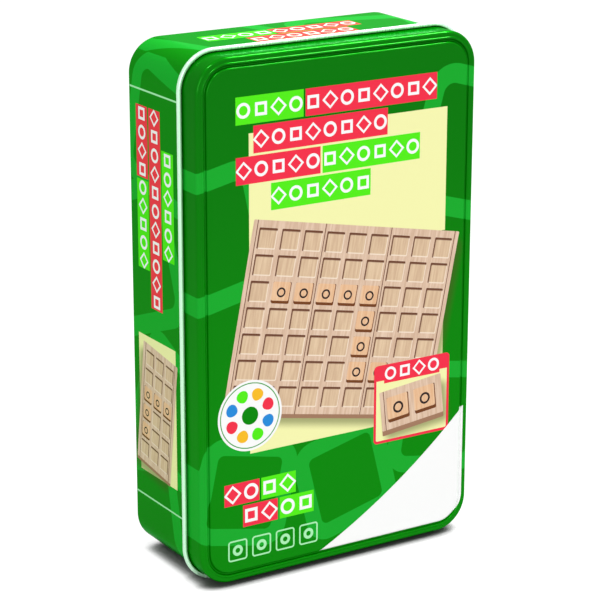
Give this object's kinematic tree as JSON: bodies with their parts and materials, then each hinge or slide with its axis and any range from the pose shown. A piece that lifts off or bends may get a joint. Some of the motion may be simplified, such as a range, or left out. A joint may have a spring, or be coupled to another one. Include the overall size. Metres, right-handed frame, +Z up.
{
  "type": "word board game",
  "caption": "Upright metal game tin with a slip-on lid, holding gridded wooden boards that join by magnets, plain wooden letter tiles, a moulded tray and a folded leaflet.",
  "frame": {"origin": "under the centre of the closed tin, on the surface that it stands on, at its lowest point, the curled edge of the lid", "axes": "+Z up along the tin's long side, -Y out of the front of the lid, +X to the right seen from the front"},
  "size_m": [0.1494, 0.0628, 0.2444],
  "materials": {
    "printed_tin": "lithographed tinplate, glossy varnish, green",
    "tray_plastic": "thin moulded sheet, satin, off-white",
    "board_wood": "sanded beech, clear matt lacquer",
    "magnet_nickel": "nickel-plated disc",
    "tile_wood": "sanded beech, satin lacquer",
    "leaflet_paper": "uncoated folded sheet"
  },
  "bodies": {
    "base": {"tin_base": "printed_tin", "inner_tray": "tray_plastic", "board_1": "board_wood", "board_2": "board_wood", "board_3": "board_wood", "board_1_magnet_1": "magnet_nickel", "board_1_magnet_2": "magnet_nickel", "board_1_magnet_3": "magnet_nickel", "board_1_magnet_4": "magnet_nickel", "board_2_magnet_1": "magnet_nickel", "board_2_magnet_2": "magnet_nickel", "board_2_magnet_3": "magnet_nickel", "board_2_magnet_4": "magnet_nickel", "board_3_magnet_1": "magnet_nickel", "board_3_magnet_2": "magnet_nickel", "board_3_magnet_3": "magnet_nickel", "board_3_magnet_4": "magnet_nickel", "letter_tile_01": "tile_wood", "letter_tile_02": "tile_wood", "letter_tile_03": "tile_wood", "letter_tile_04": "tile_wood", "letter_tile_05": "tile_wood", "letter_tile_06": "tile_wood", "letter_tile_07": "tile_wood", "letter_tile_08": "tile_wood", "letter_tile_09": "tile_wood", "letter_tile_10": "tile_wood", "letter_tile_11": "tile_wood", "letter_tile_12": "tile_wood", "letter_tile_13": "tile_wood", "letter_tile_14": "tile_wood", "letter_tile_15": "tile_wood", "letter_tile_16": "tile_wood", "letter_tile_17": "tile_wood", "letter_tile_18": "tile_wood", "letter_tile_19": "tile_wood", "letter_tile_20": "tile_wood", "letter_tile_21": "tile_wood", "letter_tile_22": "tile_wood", "letter_tile_23": "tile_wood", "letter_tile_24": "tile_wood", "letter_tile_25": "tile_wood", "letter_tile_26": "tile_wood", "letter_tile_27": "tile_wood", "letter_tile_28": "tile_wood", "letter_tile_29": "tile_wood", "letter_tile_30": "tile_wood", "letter_tile_31": "tile_wood", "letter_tile_32": "tile_wood", "letter_tile_33": "tile_wood", "rules_leaflet": "leaflet_paper"},
    "lid": {"tin_lid": "printed_tin"}
  },
  "joints": [
    {"name": "lid_off", "type": "slide", "parent": "base", "child": "lid", "axis": [0, -1, 0], "range_m": [0, 0.15]}
  ]
}
